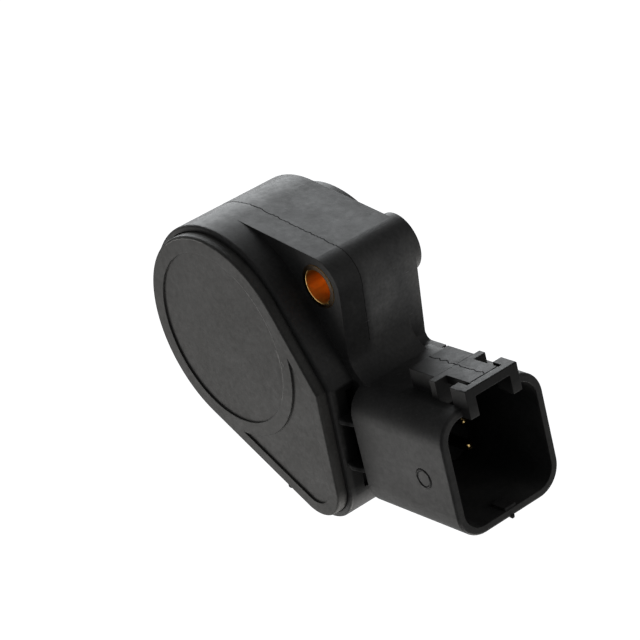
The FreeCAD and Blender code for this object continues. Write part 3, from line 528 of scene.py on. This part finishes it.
def add_mould_marks():
    """A plain ring on the shroud's side, a key rib and flash at its mouth, and a nub on the cover's edge."""
    mark = face_arc((46.3, SHROUD_SIDE_Y, -18.3), 1.75, 0, 360, 0.5)
    add_ridge("ejector_mark", mark, housing_black, width=0.7, height=0.2, wander=0.05)
    add_nub("key_rib", (49.5, -12.3, -28.6), (53.2, -9.6, -27.85), housing_black,
            rounding=0.2, wander=0.0)
    add_nub("mouth_flash", (52.9, -11.5, -30.25), (53.6, -10.7, -29.6), housing_black,
            rounding=0.15, wander=0.15)
    add_nub("cover_flash", (8.9, -26.3, -28.9), (9.9, -25.6, -28.0), painted_seam_shade,
            rounding=0.2, wander=0.15)


def add_wear_and_highlights():
    """A painted highlight along the disc's edge, pale burrs and two scratches on the cover, and a painted
    highlight on a bolt sleeve's bore edge.
    """
    centre = (0, COVER_Y, 0)
    # Painted highlight: a pale line along the lit edge of the disc's recess
    edge_highlight_arc = face_arc(centre, DISC_R + 0.16, -32, 58, 0.8)
    add_ridge("disc_burr", edge_highlight_arc, burr_and_highlight_grey, width=0.24, height=0.012, wander=0.02)
    scratches = {
        "scratch_1": ((16.85, COVER_Y, 1.6), (17.2, COVER_Y, -2.1)),
        "scratch_2": ((17.6, COVER_Y, -0.5), (17.95, COVER_Y, -1.3)),
    }
    for name, (start, end) in scratches.items():
        scratch = straight(start, end, FRONT, ACROSS_X, 0.5)
        add_ridge(name, scratch, burr_and_highlight_grey, width=0.3, height=0.016, wander=0.02)
    edge = face_arc(centre, BODY_R - 1.75, 84, 122, 0.6)
    add_ridge("cover_edge_burr", edge, burr_and_highlight_grey, width=0.22, height=0.014, wander=0.06)
    sleeve_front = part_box("bolt_sleeve_upper")[0].y / MM
    # Painted highlight: a bright ridge along the lower left of the sleeve's bore edge
    lip = face_arc((EAR_X, sleeve_front, EAR_Z), BORE_R + 0.14, 125, 310, 0.3)
    add_ridge("sleeve_lip", lip, glint_brass, width=0.2, height=0.05, wander=0.0)


def add_wound_spring():
    """The return spring as a separate piece: a copy of its mesh with the transform baked in, while the CAD
    spring is hidden.
    """
    piece = bpy.data.objects.new("wound_spring", NODES["return_spring"].data.copy())
    bpy.context.scene.collection.objects.link(piece)
    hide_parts("return_spring")
    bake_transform(piece)


def add_camera():
    """The photograph's view: a long lens from the upper right of the cover, rolled a little."""
    level = Vector((math.cos(AZIMUTH), math.sin(AZIMUTH), 0))
    away = Vector((math.sin(AZIMUTH), -math.cos(AZIMUTH), 0))
    back = away * math.cos(ELEVATION) + TOP * math.sin(ELEVATION)
    upright = back.cross(level)
    right = level * math.cos(ROLL) + upright * math.sin(ROLL)
    up = upright * math.cos(ROLL) - level * math.sin(ROLL)
    middle = PICTURE / 2
    aside = (TARGET_PIXEL[0] - middle) / PIXELS_PER_M
    below = (TARGET_PIXEL[1] - middle) / PIXELS_PER_M
    place = TARGET - right * aside + up * below + back * (FOCAL_PIXELS / PIXELS_PER_M)
    data = bpy.data.cameras.new("camera")
    data.sensor_width = SENSOR_MM
    data.lens = FOCAL_PIXELS / PICTURE * SENSOR_MM
    data.clip_start = CLIP_START
    camera = bpy.data.objects.new("camera", data)
    camera.matrix_world = Matrix.Translation(place) @ Matrix((right, up, back)).transposed().to_4x4()
    bpy.context.scene.collection.objects.link(camera)
    bpy.context.scene.camera = camera


def add_lamp(name, place, size, watts, colour):
    """A soft square lamp that faces the part."""
    data = bpy.data.lights.new(name, "AREA")
    data.size = size
    data.energy = watts
    data.color = colour
    lamp = bpy.data.objects.new(name, data)
    lamp.location = place
    lamp.rotation_euler = (LAMP_AIM - Vector(place)).to_track_quat("-Z", "Y").to_euler()
    bpy.context.scene.collection.objects.link(lamp)


def seen_directly(tree):
    """1 for camera, glossy and transmission rays, which see the white backdrop."""
    path = tree.nodes.new("ShaderNodeLightPath")
    shown = math_node(tree, "MAXIMUM", path.outputs["Is Camera Ray"], path.outputs["Is Glossy Ray"])
    return math_node(tree, "MAXIMUM", shown, path.outputs["Is Transmission Ray"])


def add_world():
    """White for the camera, and a soft ambient light for the object."""
    world = bpy.data.worlds.new("studio")
    bpy.context.scene.world = world
    world.use_nodes = True
    tree = world.node_tree
    tree.nodes.clear()
    soft = node(tree, "ShaderNodeBackground", {"Color": AMBIENT_COLOUR, "Strength": AMBIENT})
    white = node(tree, "ShaderNodeBackground", {"Color": WHITE, "Strength": 1.0})
    mix = node(tree, "ShaderNodeMixShader", {0: seen_directly(tree), 1: soft.outputs[0], 2: white.outputs[0]})
    output = tree.nodes.new("ShaderNodeOutputWorld")
    tree.links.new(mix.outputs[0], output.inputs[0])


def add_floor():
    """A pale floor well below the part, which is held by its bolts."""
    mesh = bpy.data.meshes.new("floor")
    form = bmesh.new()
    bmesh.ops.create_grid(form, x_segments=1, y_segments=1, size=FLOOR_HALF)
    form.to_mesh(mesh)
    form.free()
    floor = bpy.data.objects.new("floor", mesh)
    floor.location = (0, 0, cad_low.z - FLOOR_DROP)
    bpy.context.scene.collection.objects.link(floor)
    material = bpy.data.materials.new("pale_floor")
    material.use_nodes = True
    tree = material.node_tree
    tree.nodes.clear()
    matt = node(tree, "ShaderNodeBsdfDiffuse", {"Color": FLOOR_COLOUR})
    shine = math_node(tree, "MULTIPLY", seen_directly(tree), FLOOR_GLOW)
    glow = node(tree, "ShaderNodeEmission", {"Color": WHITE, "Strength": shine})
    both = node(tree, "ShaderNodeAddShader", {0: matt.outputs[0], 1: glow.outputs[0]})
    output = tree.nodes.new("ShaderNodeOutputMaterial")
    tree.links.new(both.outputs[0], output.inputs[0])
    mesh.materials.append(material)


add_wound_spring()
add_parting_line()
add_latch_details()
add_gussets()
add_mould_marks()
add_wear_and_highlights()
add_camera()
add_world()
add_floor()
for lamp_name, settings in LAMPS.items():
    add_lamp(lamp_name, *settings)

bpy.context.scene.view_settings.view_transform = "Standard"
